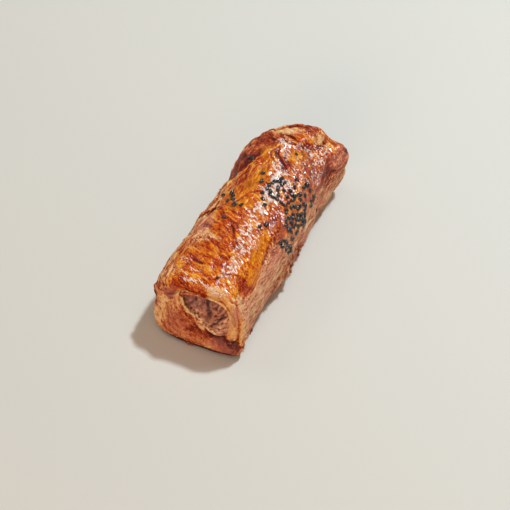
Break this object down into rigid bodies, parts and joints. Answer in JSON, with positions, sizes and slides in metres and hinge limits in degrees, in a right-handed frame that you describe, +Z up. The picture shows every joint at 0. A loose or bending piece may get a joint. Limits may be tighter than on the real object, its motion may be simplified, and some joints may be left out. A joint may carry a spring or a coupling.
{
  "type": "rolled borek",
  "caption": "Baked filled pastry roll with a glazed, wrinkled crust, a tucked open end that shows the inner roll, and dark seeds on top.",
  "frame": {"origin": "under the middle of the roll, on the surface it rests on", "axes": "+Y along the roll, from the open end towards the folded end; +Z up; +X to the right seen from the open end"},
  "size_m": [0.0666, 0.1704, 0.0463],
  "materials": {
    "crust": "satin",
    "filled_roll": "matte",
    "dark_seeds": "satin"
  },
  "bodies": {
    "root": {"pastry_wrap": "crust", "inner_roll": "filled_roll"}
  },
  "joints": []
}
